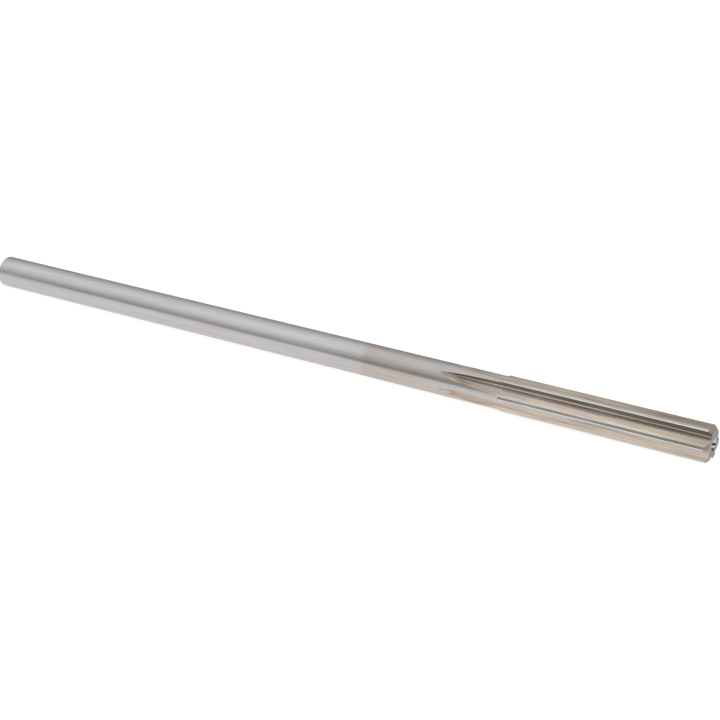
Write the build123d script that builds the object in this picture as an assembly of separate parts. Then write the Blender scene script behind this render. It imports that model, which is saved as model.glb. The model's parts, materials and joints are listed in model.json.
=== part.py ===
from build123d import *
import os
from math import acos, atan2, cos, degrees, hypot, pi, radians, sin, tan

# A machine reamer: a straight shank, a short step up to the head, and six straight flutes cut
# for right-hand rotation. It is one piece of high-speed steel, turned and ground between centres.
# Lengths are in millimetres and angles in degrees.

# Blank
OVERALL_LENGTH = 152.4
SHANK_DIAMETER = 6.109
SHANK_CHAMFER = 0.6
HEAD_DIAMETER = 6.528
HEAD_LENGTH = 37.7
STEP_TAPER_LENGTH = 0.6
LEAD_CHAMFER = 0.6
LEAD_CHAMFER_ANGLE = 45.0

# Centre holes, one in each end
CENTRE_MOUTH_DIAMETER = 2.12
CENTRE_PILOT_DIAMETER = 1.0
CENTRE_CONE_ANGLE = 60.0
CENTRE_PILOT_LENGTH = 1.3
DRILL_POINT_ANGLE = 118.0

# Flutes, ground by a wheel that travels along the tool and lifts out over the neck. Its plane
# leans out from the cutting face by the wheel tilt.
FLUTE_COUNT = 6
FLUTE_DEPTH = 1.25
FLUTE_ROOT_RADIUS = 0.2
GRINDING_WHEEL_DIAMETER = 130.0
GRINDING_WHEEL_TILT = 35.0

# Lands: a narrow cylindrical margin behind each cutting edge, then a flat relief to the heel
MARGIN_WIDTH = 0.2
RELIEF_WIDTH = 0.45
RELIEF_ANGLE = 11.5
LEAD_RELIEF_ANGLE = 12.0

# How far a cutter reaches past the metal that it removes
OVERCUT = 1.0

shank_radius = SHANK_DIAMETER / 2
head_radius = HEAD_DIAMETER / 2
head_start = OVERALL_LENGTH - HEAD_LENGTH
taper_start = head_start - STEP_TAPER_LENGTH
lead_drop = LEAD_CHAMFER * tan(radians(LEAD_CHAMFER_ANGLE))
pitch = 2 * pi / FLUTE_COUNT


def section_at(x):
    """Plane across the tool at x, seen from the cutting end: its first axis is Y, its second Z."""
    return Plane(origin=(x, 0, 0), x_dir=(0, 1, 0), z_dir=(1, 0, 0))


def polar(radius, angle):
    """Point in a section, at an angle in radians from the top towards the land of the top tooth."""
    return (radius * sin(angle), radius * cos(angle))


# One tooth, in the section across the tool, with its cutting edge at the top of the circle.
# Its land trails towards +Y, and its flute lies in front of it, towards -Y.
margin_end = polar(head_radius, MARGIN_WIDTH / head_radius)
relief_slope = MARGIN_WIDTH / head_radius + radians(RELIEF_ANGLE)
along_relief = (cos(relief_slope), -sin(relief_slope))
off_relief = (sin(relief_slope), cos(relief_slope))
heel = (
    margin_end[0] + RELIEF_WIDTH * along_relief[0],
    margin_end[1] + RELIEF_WIDTH * along_relief[1],
)
heel_radius = hypot(heel[0], heel[1])
heel_angle = atan2(heel[0], heel[1])


def blank():
    """The turned and ground blank, with its centre holes, about X from the shank end to the tip."""
    mouth = CENTRE_MOUTH_DIAMETER / 2
    pilot = CENTRE_PILOT_DIAMETER / 2
    cone_end = (mouth - pilot) / tan(radians(CENTRE_CONE_ANGLE / 2))
    pilot_end = cone_end + CENTRE_PILOT_LENGTH
    drill_tip = pilot_end + pilot / tan(radians(DRILL_POINT_ANGLE / 2))
    outline = Polyline(
        (drill_tip, 0),
        (pilot_end, pilot),
        (cone_end, pilot),
        (0, mouth),
        (0, shank_radius - SHANK_CHAMFER),
        (SHANK_CHAMFER, shank_radius),
        (taper_start, shank_radius),
        (head_start, head_radius),
        (OVERALL_LENGTH - LEAD_CHAMFER, head_radius),
        (OVERALL_LENGTH, head_radius - lead_drop),
        (OVERALL_LENGTH, mouth),
        (OVERALL_LENGTH - cone_end, pilot),
        (OVERALL_LENGTH - pilot_end, pilot),
        (OVERALL_LENGTH - drill_tip, 0),
        close=True,
    )
    return revolve(make_face(outline), axis=Axis.X)


def flute_cutter():
    """The metal that the wheel removes in one pass: a straight flute that curves out over the neck."""
    root = (0, head_radius - FLUTE_DEPTH)
    previous_heel = polar(heel_radius, heel_angle - pitch)
    back_slope = (previous_heel[1] - root[1]) / previous_heel[0]
    reach = head_radius + OVERCUT
    outline = Polyline(
        root,
        (0, reach),
        (-reach, reach),
        (-reach, root[1] - reach * back_slope),
        close=True,
    )
    section = make_face(outline)
    root_corner = section.vertices().sort_by_distance((root[0], root[1], 0))[0]
    section = fillet(root_corner, FLUTE_ROOT_RADIUS)

    profile = section_at(head_start) * section
    straight = extrude(profile, amount=HEAD_LENGTH + OVERCUT, dir=(1, 0, 0))

    wheel_radius = GRINDING_WHEEL_DIAMETER / 2
    tilt = radians(GRINDING_WHEEL_TILT)
    wheel_centre = (head_start, -wheel_radius * sin(tilt), root[1] + wheel_radius * cos(tilt))
    wheel_axis = Axis(wheel_centre, (0, cos(tilt), sin(tilt)))
    lift = FLUTE_DEPTH + OVERCUT
    lift_out_arc = degrees(acos(1 - lift / wheel_radius))
    run_out = revolve(profile, axis=wheel_axis, revolution_arc=lift_out_arc)
    return straight + run_out


def land_relief_cutter():
    """The sliver ground off a land behind its margin, over the whole length of the head."""
    length = RELIEF_WIDTH + FLUTE_DEPTH / 2
    far_end = (margin_end[0] + length * along_relief[0], margin_end[1] + length * along_relief[1])
    outline = Polyline(
        margin_end,
        far_end,
        (far_end[0] + OVERCUT * off_relief[0], far_end[1] + OVERCUT * off_relief[1]),
        (margin_end[0] + OVERCUT * off_relief[0], margin_end[1] + OVERCUT * off_relief[1]),
        close=True,
    )
    profile = section_at(taper_start) * make_face(outline)
    return extrude(profile, amount=OVERALL_LENGTH - taper_start + OVERCUT, dir=(1, 0, 0))


def lead_relief_cutter():
    """The flat ground on a tooth's lead chamfer, which drops away behind the chamfer's cutting edge."""
    chamfer_length = hypot(LEAD_CHAMFER, lead_drop)
    along = Vector(LEAD_CHAMFER, 0, -lead_drop) / chamfer_length
    outward = Vector(lead_drop, 0, LEAD_CHAMFER) / chamfer_length
    relief = radians(LEAD_RELIEF_ANGLE)
    normal = outward * cos(relief) + Vector(0, 1, 0) * sin(relief)
    middle = (OVERALL_LENGTH - LEAD_CHAMFER / 2, 0, head_radius - lead_drop / 2)
    depth = MARGIN_WIDTH + RELIEF_WIDTH + FLUTE_DEPTH / 2
    flat = Plane(origin=middle, x_dir=along, z_dir=normal)
    return flat * Box(
        chamfer_length + 2 * OVERCUT,
        depth,
        OVERCUT,
        align=(Align.CENTER, Align.MIN, Align.MIN),
    )


# The tool lies on its shank, and the heel of one tooth just touches the same surface: the head is
# larger than the shank, so that tooth's heel stands to one side of the lowest line by this angle.
# On a shank as large as the head, the heel is at the lowest line.
lowest_heel_offset = acos(min(1, shank_radius / heel_radius))
turn_at_rest = lowest_heel_offset + heel_angle

# Every tooth gets its flute, its land relief and its lead relief
one_tooth = [flute_cutter(), land_relief_cutter(), lead_relief_cutter()]
turns = [degrees(turn_at_rest + pitch * tooth) for tooth in range(FLUTE_COUNT)]
reamer = blank() - [Rot(X=turn) * cutter for turn in turns for cutter in one_tooth]
reamer = Pos(-OVERALL_LENGTH / 2, 0, shank_radius) * reamer
reamer.label = "reamer"

os.makedirs("parts", exist_ok=True)
export_step(reamer, "parts/reamer.step")
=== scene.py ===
import json
from itertools import pairwise
from math import acos, atan2, cos, hypot, pi, radians, sin, tan

import bmesh
import bpy
from mathutils import Matrix, Vector

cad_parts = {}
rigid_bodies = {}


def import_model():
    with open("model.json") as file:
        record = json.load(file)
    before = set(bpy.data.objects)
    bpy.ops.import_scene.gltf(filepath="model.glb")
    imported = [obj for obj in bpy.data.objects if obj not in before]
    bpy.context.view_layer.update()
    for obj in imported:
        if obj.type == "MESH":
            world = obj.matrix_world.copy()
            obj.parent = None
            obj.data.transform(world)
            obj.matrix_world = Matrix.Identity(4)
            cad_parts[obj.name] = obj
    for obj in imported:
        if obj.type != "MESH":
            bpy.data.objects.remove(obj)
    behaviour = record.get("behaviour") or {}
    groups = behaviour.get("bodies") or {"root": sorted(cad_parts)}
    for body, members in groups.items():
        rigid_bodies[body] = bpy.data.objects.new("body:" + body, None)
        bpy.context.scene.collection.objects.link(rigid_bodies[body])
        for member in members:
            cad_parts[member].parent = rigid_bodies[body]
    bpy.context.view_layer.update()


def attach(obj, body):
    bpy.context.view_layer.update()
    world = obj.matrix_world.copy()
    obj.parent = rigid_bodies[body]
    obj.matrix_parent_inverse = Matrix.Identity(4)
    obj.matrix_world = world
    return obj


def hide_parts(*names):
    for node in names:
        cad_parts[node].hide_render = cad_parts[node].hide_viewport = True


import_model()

MM = 0.001

# The blank, in millimetres from the middle of the tool, about its own axis
HALF_LENGTH = 76.2
SHANK_RADIUS = 3.0545
SHANK_CHAMFER = 0.6
HEAD_RADIUS = 3.264
HEAD_START = 38.5
TAPER_START = 37.9
LEAD_CHAMFER = 0.6
CENTRE_MOUTH_RADIUS = 1.06
CENTRE_CONE_HALF_ANGLE = radians(30)
PILOT_RADIUS = 0.5
PILOT_LENGTH = 1.3
DRILL_POINT_HALF_ANGLE = radians(59)
CENTRE_CONE_LENGTH = (CENTRE_MOUTH_RADIUS - PILOT_RADIUS) / tan(CENTRE_CONE_HALF_ANGLE)
DRILL_POINT_LENGTH = PILOT_RADIUS / tan(DRILL_POINT_HALF_ANGLE)
# Stations of two more rings on the shank, so that its facets aren't too long
SHANK_RINGS = (0, 20)

# The teeth
FLUTES = 6
PITCH = 2 * pi / FLUTES
FLUTE_DEPTH = 1.25
ROOT_RADIUS = 0.2
WHEEL_RADIUS = 65.0
WHEEL_TILT = radians(35)
MARGIN_WIDTH = 0.2
RELIEF_WIDTH = 0.45
RELIEF_ANGLE = radians(11.5)
LEAD_RELIEF_ANGLE = radians(12)
OVERCUT = 1.0

# Facets round the blank, round a flute's root and along its run-out
ROUND_FACETS = 180
ROOT_FACETS = 6
RUN_OUT_FACETS = 44

# A face is square to an axis if its normal's part along it is larger than this
SQUARE_ON = 0.99
# Points this close to a line lie on it, and points this close to each other merge, in metres
ON_THE_LINE = 1e-7
MERGE_DISTANCE = 2e-7
# An edge inside one finish is smooth below this angle
SHARP_ANGLE = radians(20)

# Where the looks change, in millimetres from the middle: the ground shank ends in a warmer, duller
# neck, the flutes' run-outs begin at its far end, and the head changes towards its tip
NECK_START = 10.8
RUN_OUT_START = HEAD_START - 12
TIP_CHANGE_START = HEAD_START + 18
TIP_CHANGE_END = HEAD_START + 31

# Real grinding lines are a hundredth of a millimetre wide. They are drawn here as coarse as the
# picture needs to show them, one every 0.4 to 0.7 mm, and this deep for a contrast of 1.
GRIND_DEPTH = 0.02
GRIND_STRENGTH = 0.35
# Nearly all values of the noise texture lie between the first two, and most between the others
NOISE_LOW, NOISE_HIGH = 0.3, 0.7
STREAK_LOW, STREAK_HIGH = 0.35, 0.65
# The diagonal wave texture repeats every two pi over ten of its own units
WAVE_PERIOD = 2 * pi / 10

# The photograph's camera
FRAME_PIXELS = 720
FOCAL_PIXELS = 1638.6
SENSOR_WIDTH_MM = 36.0
CAMERA_AZIMUTH = radians(30.87)
CAMERA_ELEVATION = radians(24.41)
CAMERA_DISTANCE = 298.1 * MM
CAMERA_AIM = Vector((9.44 * MM, -0.92 * MM, SHANK_RADIUS * MM))
NEAREST_SEEN = 10 * MM

# The floor's side in metres, and the strength of its glow
FLOOR_SIZE = 4
FLOOR_GLOW = 0.88


def linear(hex_colour):
    """An sRGB hex colour as the linear RGBA that a shader takes."""
    channels = [int(hex_colour[i:i + 2], 16) / 255 for i in (1, 3, 5)]
    return [c / 12.92 if c <= 0.04045 else ((c + 0.055) / 1.055) ** 2.4 for c in channels] + [1.0]


def add_node(tree, kind, links=(), **settings):
    """Adds a node, sets its properties or sockets, and links its (socket, source output) pairs."""
    node = tree.nodes.new(kind)
    for name, value in settings.items():
        if name in node.inputs:
            node.inputs[name].default_value = value
        else:
            setattr(node, name, value)
    for socket, source in links:
        tree.links.new(source, node.inputs[socket])
    return node


def set_stops(ramp, stops):
    """Gives a colour ramp its (position, value) stops: a value is a hex colour or a grey level."""
    while len(ramp.elements) < len(stops):
        ramp.elements.new(0.5)
    for element, (position, value) in zip(ramp.elements, stops):
        element.position = position
        element.color = linear(value) if isinstance(value, str) else (value, value, value, 1)


def camera():
    data = bpy.data.cameras.new("camera")
    data.sensor_width = SENSOR_WIDTH_MM
    data.lens = FOCAL_PIXELS / FRAME_PIXELS * SENSOR_WIDTH_MM
    data.clip_start = NEAREST_SEEN
    obj = bpy.data.objects.new("camera", data)
    bpy.context.scene.collection.objects.link(obj)
    away = Vector((
        sin(CAMERA_AZIMUTH) * cos(CAMERA_ELEVATION),
        -cos(CAMERA_AZIMUTH) * cos(CAMERA_ELEVATION),
        sin(CAMERA_ELEVATION),
    ))
    obj.location = CAMERA_AIM + CAMERA_DISTANCE * away
    obj.rotation_euler = (-away).to_track_quat("-Z", "Y").to_euler()
    bpy.context.scene.camera = obj


# Modelling, about the tool's axis laid on the X axis


def select_only(obj):
    bpy.ops.object.select_all(action="DESELECT")
    obj.select_set(True)
    bpy.context.view_layer.objects.active = obj


def finish_with(obj, *materials):
    for material in materials:
        obj.data.materials.append(material)


def draw_out(body, x, next_x, widen, slot):
    """Draws the selected ring out along X and widens it, or ends it in a point where widen is 0."""
    mesh = bmesh.from_edit_mesh(body.data)
    known = set(mesh.faces)
    bpy.ops.mesh.extrude_region_move(TRANSFORM_OT_translate={"value": ((next_x - x) * MM, 0, 0)})
    if widen:
        bpy.ops.transform.resize(value=(1, widen, widen), center_override=(next_x * MM, 0, 0))
    else:
        bpy.ops.mesh.merge(type="CENTER")
    mesh = bmesh.from_edit_mesh(body.data)
    for face in set(mesh.faces) - known:
        face.material_index = slot


def blank(materials):
    """The turned blank: one ring drawn out from station to station, with both centre holes."""
    cone_end = HALF_LENGTH - CENTRE_CONE_LENGTH
    pilot_end = cone_end - PILOT_LENGTH
    drill_tip = pilot_end - DRILL_POINT_LENGTH
    # Each station's x and radius, and the finish of the wall that leads up to it
    stations = [
        (-pilot_end, PILOT_RADIUS, "pilot"),
        (-cone_end, PILOT_RADIUS, "pilot"),
        (-HALF_LENGTH, CENTRE_MOUTH_RADIUS, "centre"),
        (-HALF_LENGTH, SHANK_RADIUS - SHANK_CHAMFER, "end"),
        (-HALF_LENGTH + SHANK_CHAMFER, SHANK_RADIUS, "shank"),
        *((x, SHANK_RADIUS, "shank") for x in SHANK_RINGS),
        (TAPER_START, SHANK_RADIUS, "shank"),
        (HEAD_START, HEAD_RADIUS, "shank"),
        (HALF_LENGTH - LEAD_CHAMFER, HEAD_RADIUS, "margin"),
        (HALF_LENGTH, HEAD_RADIUS - LEAD_CHAMFER, "lead"),
        (HALF_LENGTH, CENTRE_MOUTH_RADIUS, "end"),
        (cone_end, PILOT_RADIUS, "centre"),
        (pilot_end, PILOT_RADIUS, "pilot"),
        (drill_tip, 0, "pilot"),
    ]
    bpy.ops.object.select_all(action="DESELECT")
    bpy.ops.mesh.primitive_circle_add(
        vertices=ROUND_FACETS,
        radius=PILOT_RADIUS * MM,
        location=(-pilot_end * MM, 0, 0),
        rotation=(0, pi / 2, 0),
    )
    body = bpy.context.object
    body.name = "reamer_tool"
    names = list(materials)
    finish_with(body, *materials.values())
    bpy.ops.object.transform_apply()
    bpy.ops.object.mode_set(mode="EDIT")
    mesh = bmesh.from_edit_mesh(body.data)
    first_ring = [edge.index for edge in mesh.edges]
    for (x, radius, _), (next_x, next_radius, finish) in pairwise(stations):
        draw_out(body, x, next_x, next_radius / radius, names.index(finish))
    bpy.ops.mesh.select_all(action="DESELECT")
    mesh = bmesh.from_edit_mesh(body.data)
    mesh.edges.ensure_lookup_table()
    for index in first_ring:
        mesh.edges[index].select_set(True)
    bmesh.update_edit_mesh(body.data)
    draw_out(body, -pilot_end, -drill_tip, 0, names.index("pilot"))
    bpy.ops.mesh.select_all(action="SELECT")
    bpy.ops.mesh.normals_make_consistent(inside=False)
    bpy.ops.object.mode_set(mode="OBJECT")
    return body


def block(name, low, high, material):
    """A box between two corners, in millimetres."""
    bpy.ops.object.select_all(action="DESELECT")
    bpy.ops.mesh.primitive_cube_add(
        size=1,
        location=[(a + b) / 2 * MM for a, b in zip(low, high)],
        scale=[(b - a) * MM for a, b in zip(low, high)],
    )
    bpy.ops.object.transform_apply()
    obj = bpy.context.object
    obj.name = name
    finish_with(obj, material)
    return obj


# One tooth, seen along the tool with its cutting edge at the top: the margin runs round from the
# edge to margin_end, and the relief falls from there to the heel
margin_angle = MARGIN_WIDTH / HEAD_RADIUS
relief_slope = margin_angle + RELIEF_ANGLE
margin_end = (HEAD_RADIUS * sin(margin_angle), HEAD_RADIUS * cos(margin_angle))
heel = (
    margin_end[0] + RELIEF_WIDTH * cos(relief_slope),
    margin_end[1] - RELIEF_WIDTH * sin(relief_slope),
)
heel_radius = hypot(*heel)
heel_angle = atan2(*heel)
turn_at_rest = acos(SHANK_RADIUS / heel_radius) + heel_angle


def flute_cutter(materials):
    """The room that the wheel takes, in front of a tooth whose cutting edge is at the top."""
    root = HEAD_RADIUS - FLUTE_DEPTH
    reach = HEAD_RADIUS + OVERCUT
    turn = heel_angle - PITCH
    slope = (heel_radius * cos(turn) - root) / (heel_radius * sin(turn))
    cutter = block(
        "flute_cutter",
        (HEAD_START, -reach, root - reach),
        (HALF_LENGTH + OVERCUT, 0, reach),
        materials["flute"],
    )
    finish_with(cutter, materials["face"])
    bpy.ops.object.mode_set(mode="EDIT")
    bpy.ops.mesh.select_all(action="SELECT")
    bpy.ops.mesh.bisect(
        plane_co=(0, 0, root * MM), plane_no=(0, slope, -1), use_fill=True, clear_outer=True
    )
    bpy.ops.mesh.select_all(action="DESELECT")
    mesh = bmesh.from_edit_mesh(cutter.data)
    for edge in mesh.edges:
        off_root = [abs(part) for v in edge.verts for part in (v.co.y, v.co.z - root * MM)]
        if max(off_root) < ON_THE_LINE:
            edge.select_set(True)
    bmesh.update_edit_mesh(cutter.data)
    bpy.ops.mesh.bevel(
        offset=ROOT_RADIUS / tan((pi / 2 + atan2(slope, 1)) / 2) * MM,
        segments=ROOT_FACETS,
        affect="EDGES",
    )
    bpy.ops.mesh.select_all(action="DESELECT")
    mesh = bmesh.from_edit_mesh(cutter.data)
    for face in mesh.faces:
        face.material_index = 1 if face.normal.y > SQUARE_ON else 0
        face.select_set(face.normal.x < -SQUARE_ON)
    bmesh.update_edit_mesh(cutter.data)
    lift = FLUTE_DEPTH + OVERCUT
    wheel_centre = (
        HEAD_START, -WHEEL_RADIUS * sin(WHEEL_TILT), root + WHEEL_RADIUS * cos(WHEEL_TILT),
    )
    bpy.ops.mesh.spin(
        steps=RUN_OUT_FACETS,
        angle=-acos(1 - lift / WHEEL_RADIUS),
        center=[c * MM for c in wheel_centre],
        axis=(0, cos(WHEEL_TILT), sin(WHEEL_TILT)),
    )
    bpy.ops.mesh.select_all(action="SELECT")
    bpy.ops.mesh.normals_make_consistent(inside=False)
    bpy.ops.object.mode_set(mode="OBJECT")
    return cutter


def land_relief_cutter(materials):
    """The sliver ground off a land behind its margin."""
    cutter = block(
        "land_relief_cutter",
        (TAPER_START, 0, 0),
        (HALF_LENGTH + OVERCUT, RELIEF_WIDTH + FLUTE_DEPTH / 2, OVERCUT),
        materials["land"],
    )
    cutter.data.transform(
        Matrix.Translation((0, margin_end[0] * MM, margin_end[1] * MM))
        @ Matrix.Rotation(-relief_slope, 4, "X")
    )
    return cutter


def lead_relief_cutter(materials):
    """The flat ground on a tooth's lead chamfer, which drops away behind its cutting edge."""
    half = hypot(LEAD_CHAMFER, LEAD_CHAMFER) / 2 + OVERCUT
    cutter = block(
        "lead_relief_cutter",
        (-half, 0, 0),
        (half, MARGIN_WIDTH + RELIEF_WIDTH + FLUTE_DEPTH / 2, OVERCUT),
        materials["lead"],
    )
    middle = (HALF_LENGTH - LEAD_CHAMFER / 2, 0, HEAD_RADIUS - LEAD_CHAMFER / 2)
    cutter.data.transform(
        Matrix.Translation([c * MM for c in middle])
        @ Matrix.Rotation(pi / 4, 4, "Y")
        @ Matrix.Rotation(-LEAD_RELIEF_ANGLE, 4, "X")
    )
    return cutter


def cut_all_round(body, cutter):
    """Cuts the body with a copy of a cutter for each tooth."""
    cutters = bpy.data.collections.new(cutter.name)
    bpy.context.scene.collection.children.link(cutters)
    for tooth in range(FLUTES):
        select_only(cutter)
        bpy.ops.object.duplicate()
        copy = bpy.context.object
        bpy.ops.transform.rotate(
            value=-(turn_at_rest + tooth * PITCH), orient_axis="X", center_override=(0, 0, 0)
        )
        bpy.ops.object.transform_apply()
        cutters.objects.link(copy)
    select_only(body)
    modifier = body.modifiers.new(cutter.name, "BOOLEAN")
    modifier.operation = "DIFFERENCE"
    modifier.solver = "EXACT"
    modifier.operand_type = "COLLECTION"
    modifier.collection = cutters
    modifier.material_mode = "TRANSFER"
    bpy.ops.object.modifier_apply(modifier=modifier.name)
    for obj in [*cutters.objects, cutter]:
        bpy.data.objects.remove(obj)
    bpy.data.collections.remove(cutters)


def reamer(materials):
    body = blank(materials)
    for cutter in (flute_cutter, land_relief_cutter, lead_relief_cutter):
        cut_all_round(body, cutter(materials))
    select_only(body)
    bpy.ops.object.mode_set(mode="EDIT")
    bpy.ops.mesh.select_all(action="SELECT")
    bpy.ops.mesh.remove_doubles(threshold=MERGE_DISTANCE)
    bpy.ops.mesh.faces_shade_smooth()
    bpy.ops.mesh.select_all(action="DESELECT")
    mesh = bmesh.from_edit_mesh(body.data)
    for edge in mesh.edges:
        if len(edge.link_faces) == 2:
            a, b = edge.link_faces
            one_finish = a.material_index == b.material_index
            edge.smooth = one_finish and edge.calc_face_angle() < SHARP_ANGLE
    bmesh.update_edit_mesh(body.data)
    bpy.ops.object.mode_set(mode="OBJECT")
    body.location.z = SHANK_RADIUS * MM
    bpy.ops.object.transform_apply()
    modifier = body.modifiers.new("even_normals", "WEIGHTED_NORMAL")
    modifier.keep_sharp = True
    bpy.ops.object.modifier_apply(modifier=modifier.name)
    return body


# Finishes


def grain(tree, cycles, detail=2.0):
    """Streaks or clouds: noise with its cycles per millimetre along X, Y and Z."""
    place = add_node(tree, "ShaderNodeTexCoord")
    stretched = add_node(
        tree, "ShaderNodeVectorMath", [(0, place.outputs["Object"])], operation="MULTIPLY"
    )
    stretched.inputs[1].default_value = [c / MM for c in cycles]
    noise = add_node(
        tree, "ShaderNodeTexNoise", [("Vector", stretched.outputs["Vector"])],
        Scale=1.0, Detail=detail,
    )
    return noise.outputs["Fac"]


def change(tree, length, stops):
    """A colour or level that changes with a length: stops are (millimetres, value) pairs."""
    first, last = stops[0][0], stops[-1][0]
    share = add_node(
        tree, "ShaderNodeMapRange", [("Value", length)],
        **{"From Min": first * MM, "From Max": last * MM},
    )
    ramp = add_node(tree, "ShaderNodeValToRGB", [("Fac", share.outputs["Result"])])
    set_stops(ramp.color_ramp, [((at - first) / (last - first), value) for at, value in stops])
    return ramp.outputs["Color"]


def along(tree, axis, stops):
    """A colour or level that changes along X, Y or Z: stops are (millimetres, value) pairs."""
    place = add_node(tree, "ShaderNodeTexCoord")
    parts = add_node(tree, "ShaderNodeSeparateXYZ", [("Vector", place.outputs["Object"])])
    return change(tree, parts.outputs[axis], stops)


def above_axis(tree, stops, unit=1.0):
    """A colour or level that changes with the height above the tool's axis.

    Stops are (height, value) pairs, and the unit is what a height of 1 is in millimetres.
    """
    return along(tree, "Z", [(SHANK_RADIUS + height * unit, value) for height, value in stops])


def distance_from_axis(tree):
    place = add_node(tree, "ShaderNodeTexCoord")
    off_axis = add_node(
        tree, "ShaderNodeVectorMath", [(0, place.outputs["Object"])], operation="SUBTRACT"
    )
    off_axis.inputs[1].default_value = (0, 0, SHANK_RADIUS * MM)
    across = add_node(
        tree, "ShaderNodeVectorMath", [(0, off_axis.outputs["Vector"])], operation="MULTIPLY"
    )
    across.inputs[1].default_value = (0, 1, 1)
    distance = add_node(
        tree, "ShaderNodeVectorMath", [(0, across.outputs["Vector"])], operation="LENGTH"
    )
    return distance.outputs["Value"]


def shade_colour(material, source):
    """Multiplies a material's colour by another colour or number."""
    tree = material.node_tree
    socket = tree.nodes["Principled BSDF"].inputs["Base Color"]
    product = add_node(
        tree, "ShaderNodeVectorMath", [(0, socket.links[0].from_socket), (1, source)],
        operation="MULTIPLY",
    )
    tree.links.new(product.outputs["Vector"], socket)


def stain_and_painted_shade(material, colour, *amounts):
    """Shades a material's colour by another, as far as the product of the amounts says. It draws
    real stains and painted shade alike.
    """
    tree = material.node_tree
    amount, *others = amounts
    for other in others:
        product = add_node(
            tree, "ShaderNodeMath", [(0, amount), (1, other)], operation="MULTIPLY"
        )
        amount = product.outputs["Value"]
    shade = add_node(tree, "ShaderNodeValToRGB", [("Fac", amount)])
    set_stops(shade.color_ramp, [(0.0, "#FFFFFF"), (1.0, colour)])
    shade_colour(material, shade.outputs["Color"])


def ground_steel(name, tones, roughness, lines, clouds, depth, tints=()):
    """Steel with grinding lines: tones run from the dark patches to the light ones.

    Lines and clouds are cycles per millimetre along X, Y and Z. Depth is the lines' contrast.
    Tints are (x, colour) pairs, in millimetres, by which the colour changes along the tool.
    """
    material = bpy.data.materials.new(name)
    material.use_nodes = True
    tree = material.node_tree
    shader = tree.nodes["Principled BSDF"]
    shader.inputs["Metallic"].default_value = 1.0
    cloud = grain(tree, clouds)
    line = grain(tree, lines)
    tone = add_node(tree, "ShaderNodeValToRGB", [("Fac", cloud)])
    step = (NOISE_HIGH - NOISE_LOW) / (len(tones) - 1)
    set_stops(tone.color_ramp, [(NOISE_LOW + i * step, colour) for i, colour in enumerate(tones)])
    contrast = add_node(
        tree, "ShaderNodeMapRange", [("Value", line)],
        **{"From Min": NOISE_LOW, "From Max": NOISE_HIGH, "To Min": 1 - depth, "To Max": 1 + depth},
    )
    colour = add_node(
        tree, "ShaderNodeVectorMath",
        [(0, tone.outputs["Color"]), ("Scale", contrast.outputs["Result"])], operation="SCALE",
    )
    tree.links.new(colour.outputs["Vector"], shader.inputs["Base Color"])
    if tints:
        shade_colour(material, along(tree, "X", tints))
    smoothest, roughest = roughness
    dullness = add_node(
        tree, "ShaderNodeMapRange", [("Value", cloud)],
        **{"From Min": NOISE_LOW, "From Max": NOISE_HIGH, "To Min": smoothest, "To Max": roughest},
    )
    tree.links.new(dullness.outputs["Result"], shader.inputs["Roughness"])
    bump = add_node(
        tree, "ShaderNodeBump", [("Height", line)],
        Strength=GRIND_STRENGTH, Distance=depth * GRIND_DEPTH * MM,
    )
    tree.links.new(bump.outputs["Normal"], shader.inputs["Normal"])
    return material


def hatch(material, period, slant, depth):
    """Slanted scratches, coarser than real ones so that they show.

    The period is in millimetres along X, and the slant in millimetres of Y and Z for one of X.
    """
    tree = material.node_tree
    place = add_node(tree, "ShaderNodeTexCoord")
    scaled = add_node(
        tree, "ShaderNodeVectorMath", [(0, place.outputs["Object"])], operation="MULTIPLY"
    )
    cycles = WAVE_PERIOD / period / MM
    scaled.inputs[1].default_value = (cycles, cycles * slant, cycles * slant)
    wave = add_node(
        tree, "ShaderNodeTexWave", [("Vector", scaled.outputs["Vector"])],
        bands_direction="DIAGONAL", Scale=1.0, Distortion=2.5, Detail=2.0,
    )
    level = add_node(
        tree, "ShaderNodeMapRange", [("Value", wave.outputs["Fac"])],
        **{"To Min": 1 - depth, "To Max": 1 + depth},
    )
    shade_colour(material, level.outputs["Result"])


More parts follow.
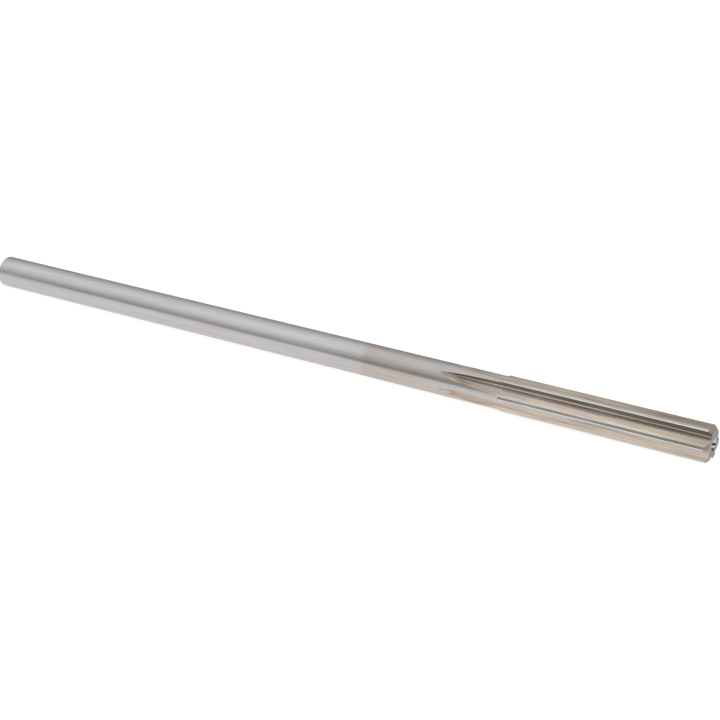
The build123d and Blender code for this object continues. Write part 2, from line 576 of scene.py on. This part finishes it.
def colour_flutes(material):
    """Painted shade: flutes are greyest and darkest along the root and brightest at the heel.

    Where they run out over the neck, their rims have a tan heat tint, and inside their rims the
    run-outs are painted darker. There they begin in a streaky grey, painted shade that is strongest
    high on the tool, on the upper ones most.
    """
    tree = material.node_tree
    streak = grain(tree, (0.2, 2.2, 2.2))
    wander = add_node(
        tree, "ShaderNodeMapRange", [("Value", streak)],
        **{
            "From Min": NOISE_LOW, "From Max": NOISE_HIGH,
            "To Min": -0.2 * MM, "To Max": 0.2 * MM,
        },
    )
    reach = add_node(
        tree, "ShaderNodeMath",
        [(0, distance_from_axis(tree)), (1, wander.outputs["Result"])], operation="ADD",
    )
    distance = reach.outputs["Value"]
    on_head = along(tree, "X", [(HEAD_START - 4, 0), (HEAD_START + 2, 1)])
    # Tan heat tint on the rims, and painted shade darkening the run-outs inside them
    rim_heat_tint_and_shade = change(tree, distance, [
        (2.26, "#EAE8E8"), (2.62, "#DAD5D0"), (2.932, "#D8CEC5"), (3.028, "#F3E6DA"),
    ])
    # Painted shade: darkest and greyest along the root, brightest at the heel
    flute_painted_shade = change(tree, distance, [
        (2.044, "#E6E6EC"), (2.164, "#EDE8EC"), (2.284, "#F1EBEC"),
        (2.5, "#EBE6E3"), (2.8, "#F0EBE8"), (3.04, "#F3F2F2"),
    ])
    tint = add_node(
        tree, "ShaderNodeMix", [(0, on_head), (6, rim_heat_tint_and_shade), (7, flute_painted_shade)], data_type="RGBA"
    )
    shade_colour(material, tint.outputs[2])
    # Painted shade: the streaky grey below is strongest high on the tool
    upper_painted_shade = above_axis(tree, [(0.2, 0.25), (0.9, 1.0)])
    beginning = along(tree, "X", [
        (RUN_OUT_START + 0.32, 0.45), (RUN_OUT_START + 3.2, 0.9), (RUN_OUT_START + 5.12, 0.9),
        (HEAD_START - 2.08, 0.34), (HEAD_START + 7.84, 0.12), (HEAD_START + 20, 0),
    ])
    inside = change(tree, distance, [(3.004, 1.0), (3.088, 0.1)])
    streaky = add_node(
        tree, "ShaderNodeMapRange", [("Value", streak)],
        **{"From Min": STREAK_LOW, "From Max": STREAK_HIGH, "To Min": 1.25, "To Max": 0.65},
    )
    stain_and_painted_shade(material, "#C3C4C5", upper_painted_shade, beginning, inside, streaky.outputs["Result"])


def colour_faces(material):
    """Painted shade: faces are darker towards -Y, where they lie in shade.

    The top tooth's face is painted darker and greyer still, most of all where it runs out. Towards
    the tip, faces are painted darker and browner next to their cutting edges, and the top one all
    over.
    """
    tree = material.node_tree
    # Painted shade: faces darker towards -Y
    shade_colour(material, along(tree, "Y", [(-1.0, "#DCDBDA"), (1.0, "#F1F1EE")]))
    # Painted shade: the top face greyer and darker, most where it runs out
    on_top = along(tree, "Y", [(-0.6, 0), (0.6, 1)])
    off_head = along(tree, "X", [(HEAD_START - 2, 1.0), (HEAD_START + 3, 0.4)])
    stain_and_painted_shade(material, "#D6D7D9", on_top, off_head)
    # Painted shade: darker and browner next to the cutting edges towards the tip, and over the top
    # face
    near_edge = change(tree, distance_from_axis(tree), [(2.6, 0), (2.95, 1)])
    painted_edge_shade = add_node(
        tree, "ShaderNodeMath", [(0, near_edge), (1, on_top)], operation="MAXIMUM"
    )
    near_tip = along(tree, "X", [(TIP_CHANGE_START, 0), (TIP_CHANGE_END, 1)])
    stain_and_painted_shade(material, "#DBD9D5", painted_edge_shade.outputs["Value"], near_tip)


def colour_lands(material):
    """Painted shade: lands are brightest low on the tool and darker higher up, and the low ones
    darker towards the tip.
    """
    tree = material.node_tree
    shade_colour(material, above_axis(tree, [(0.5, "#FFFFFF"), (2.5, "#E4E4E3")]))
    # Painted shade on the low lands towards the tip
    low = above_axis(tree, [(1.0, 1), (2.0, 0)])
    near_tip = along(tree, "X", [(TIP_CHANGE_START, 0), (TIP_CHANGE_END, 1)])
    stain_and_painted_shade(material, "#D8D8D7", low, near_tip)


def colour_lead_chamfers(material):
    """Painted shade: lead chamfers are brightest high on the tool and darker low on it."""
    shade_colour(material, above_axis(material.node_tree, [(0.5, "#DCDCDC"), (2.5, "#FFFFFF")]))


def colour_centre_holes(material):
    """Painted shade: a dark line across each hole's lower half, and darkness at its bottom."""
    shade_colour(material, above_axis(material.node_tree, [
        (-0.84, "#6A6865"), (-0.74, "#FFFFFF"), (-0.52, "#FFFFFF"),
        (-0.44, "#3C3A38"), (-0.2, "#3C3A38"), (-0.1, "#FFFFFF"),
    ], unit=CENTRE_MOUTH_RADIUS))


def colour_shank(material):
    """Painted shade: the shank is a little darker and cooler along its top, and the neck has a
    darker streak there.

    Beige streaks run along the neck up to the run-outs.
    """
    tree = material.node_tree
    # Painted shade: darker and cooler along the shank's top
    shank_top_painted_shade = above_axis(tree, [(0.25, "#FFFFFF"), (0.5, "#F9FAFC")], unit=SHANK_RADIUS)
    # Painted shade: a darker streak along the neck's top
    neck_top_painted_shade = above_axis(tree, [
        (0.18, "#FFFFFF"), (0.3, "#E6E6E6"), (0.7, "#E6E5E4"), (0.95, "#F8F8F8"),
    ], unit=SHANK_RADIUS)
    on_neck = along(tree, "X", [
        (NECK_START - 6, 0), (NECK_START - 3.9, 0.4),
        (NECK_START - 0.47, 0.45), (NECK_START + 0.93, 1),
    ])
    top = add_node(
        tree, "ShaderNodeMix", [(0, on_neck), (6, shank_top_painted_shade), (7, neck_top_painted_shade)], data_type="RGBA"
    )
    shade_colour(material, top.outputs[2])
    streaky = add_node(
        tree, "ShaderNodeMapRange", [("Value", grain(tree, (0.08, 1.6, 1.6), detail=3.0))],
        **{"From Min": STREAK_LOW, "From Max": STREAK_HIGH},
    )
    before_run_outs = along(tree, "X", [
        (NECK_START - 0.5, 0), (NECK_START + 0.8, 1), (NECK_START + 9.22, 1), (RUN_OUT_START, 0),
    ])
    stain_and_painted_shade(material, "#FCF5EF", streaky.outputs["Result"], before_run_outs)


finishes = {
    # Ground between rollers and polished along its length: faint streaks along the axis, cool grey.
    # The neck behind the head was ground in another setting, and looks warmer and duller.
    "shank": ground_steel(
        "hss_shank_centreless_ground", ("#B5B6B9", "#BBBABB", "#BAB7B6", "#BCBCC0"), (0.27, 0.33),
        lines=(0.08, 2.2, 2.2), clouds=(0.06, 0.7, 0.7), depth=0.06,
        tints=[
            (NECK_START - 0.5, "#FFFFFF"), (NECK_START + 0.9, "#FCF8F4"),
            (19, "#FCF8F4"), (26, "#FBF8F4"),
        ],
    ),
    # The narrow margin behind each cutting edge, ground round: so smooth that it shows as a thin
    # bright line
    "margin": ground_steel(
        "hss_margin_cylindrically_ground", ("#C2C1BE", "#CDCBC8"), (0.14, 0.2),
        lines=(2.4, 0.1, 0.1), clouds=(0.3, 0.5, 0.5), depth=0.03,
    ),
    # Flutes: the wheel leaves streaks along the tool, straw-coloured by its heat, greyer at the tip
    "flute": ground_steel(
        "hss_flute_form_ground", ("#C0B8AD", "#CCC4B9", "#D3C5BA", "#DAD4CA"), (0.26, 0.36),
        lines=(0.1, 2.6, 2.6), clouds=(0.1, 1.1, 1.1), depth=0.17,
        tints=[
            (HEAD_START + 14, "#FFFFFF"), (HEAD_START + 25, "#F6F7F5"),
            (HEAD_START + 32, "#EAECE8"), (HALF_LENGTH, "#E5E7E3"),
        ],
    ),
    # Radial faces: browner than the flutes' backs, with slanted scratches over stronger streaks
    "face": ground_steel(
        "hss_tooth_face_ground", ("#B4A99F", "#CABFB4", "#D1C5BB"), (0.18, 0.24),
        lines=(0.08, 2.4, 2.4), clouds=(0.12, 0.9, 0.9), depth=0.22,
        tints=[
            (HEAD_START - 11.5, "#DCDAD8"), (HEAD_START - 8, "#FFFFFF"),
            (HEAD_START - 3, "#FFFFFF"), (HEAD_START + 2, "#EFEEEB"), (HEAD_START + 8, "#EDECE8"),
        ],
    ),
    # Relief behind the margins: a cup wheel leaves slanted scratches on the smooth, bright lands
    "land": ground_steel(
        "hss_land_relief_ground", ("#C8C9C8", "#D8D9D8"), (0.1, 0.15),
        lines=(0.2, 2.0, 2.0), clouds=(0.25, 0.5, 0.5), depth=0.03,
        tints=[
            (HEAD_START, "#ECECEA"), (HEAD_START + 4, "#F6F6F4"), (HEAD_START + 10, "#FFFFFF"),
        ],
    ),
    # Lead chamfers: dull grey from a coarse wheel
    "lead": ground_steel(
        "hss_lead_chamfer_ground", ("#9A9A97", "#AFAFAD"), (0.28, 0.36),
        lines=(1.5, 1.5, 1.5), clouds=(0.8, 0.8, 0.8), depth=0.06,
    ),
    # End faces: turned, dull and mottled
    "end": ground_steel(
        "hss_end_face_turned", ("#616160", "#787875", "#8E8E8B"), (0.32, 0.42),
        lines=(1.5, 1.5, 1.5), clouds=(1.0, 1.0, 1.0), depth=0.08,
    ),
    # Centre holes: a countersink polished bright by the centres that it ran on
    "centre": ground_steel(
        "hss_centre_hole_countersunk", ("#A8A7A4", "#BDBCB9"), (0.12, 0.2),
        lines=(1.5, 1.5, 1.5), clouds=(1.0, 1.0, 1.0), depth=0.05,
    ),
    # Pilot holes: drilled, and painted dark as the shade deep inside them
    "pilot": ground_steel(
        "hss_pilot_hole_drilled", ("#2C2A27", "#3B3936"), (0.45, 0.6),
        lines=(1.5, 1.5, 1.5), clouds=(1.0, 1.0, 1.0), depth=0.05,
    ),
}
hatch(finishes["face"], period=0.9, slant=-0.6, depth=0.03)
hatch(finishes["land"], period=0.8, slant=0.9, depth=0.05)
colour_flutes(finishes["flute"])
colour_faces(finishes["face"])
colour_lands(finishes["land"])
colour_lead_chamfers(finishes["lead"])
colour_centre_holes(finishes["centre"])
colour_shank(finishes["shank"])

camera()
tool = reamer(finishes)
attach(tool, "root")
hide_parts("reamer")

# Studio: pale walls that darken towards the floor and behind the tool, and a light ceiling
world = bpy.data.worlds.new("studio")
bpy.context.scene.world = world
world.use_nodes = True
tree = world.node_tree
direction = add_node(tree, "ShaderNodeTexCoord")
parts = add_node(tree, "ShaderNodeSeparateXYZ", [("Vector", direction.outputs["Generated"])])
height = add_node(tree, "ShaderNodeValToRGB", [("Fac", parts.outputs["Z"])])
set_stops(height.color_ramp, [
    (0.0, 0.4), (0.13, 0.4), (0.4, 0.8), (0.7, 1.2), (0.86, 1.28), (1.0, 1.35),
])
behind = add_node(
    tree, "ShaderNodeMapRange", [("Value", parts.outputs["Y"])],
    **{"From Min": -0.1, "From Max": 0.6, "To Min": 1.0, "To Max": 0.7},
)
shade = add_node(
    tree, "ShaderNodeVectorMath",
    [(0, height.outputs["Color"]), ("Scale", behind.outputs["Result"])], operation="SCALE",
)
tree.links.new(shade.outputs["Vector"], tree.nodes["Background"].inputs["Color"])

# Floor: a translucent white sheet, lit from below. Its glow keeps it white in the picture and in
# the steel, faintly warm there. The rest of its light comes from above, so a faint shadow shows.
bpy.ops.object.select_all(action="DESELECT")
bpy.ops.mesh.primitive_plane_add(size=FLOOR_SIZE)
floor = bpy.context.object
floor.name = "floor"
sheet = bpy.data.materials.new("white_lit_sheet")
sheet.use_nodes = True
tree = sheet.node_tree
shader = tree.nodes["Principled BSDF"]
shader.inputs["Base Color"].default_value = linear("#909090")
shader.inputs["Roughness"].default_value = 0.9
shader.inputs["Emission Color"].default_value = linear("#FFFCFA")
path = add_node(tree, "ShaderNodeLightPath")
seen = path.outputs["Is Camera Ray"]
for ray in ("Is Glossy Ray", "Is Transmission Ray"):
    either = add_node(
        tree, "ShaderNodeMath", [(0, seen), (1, path.outputs[ray])], operation="ADD"
    )
    seen = either.outputs["Value"]
glow = add_node(tree, "ShaderNodeMath", [(0, seen)], operation="MULTIPLY")
glow.inputs[1].default_value = FLOOR_GLOW
tree.links.new(glow.outputs["Value"], shader.inputs["Emission Strength"])
finish_with(floor, sheet)

bpy.context.scene.view_settings.view_transform = "Standard"
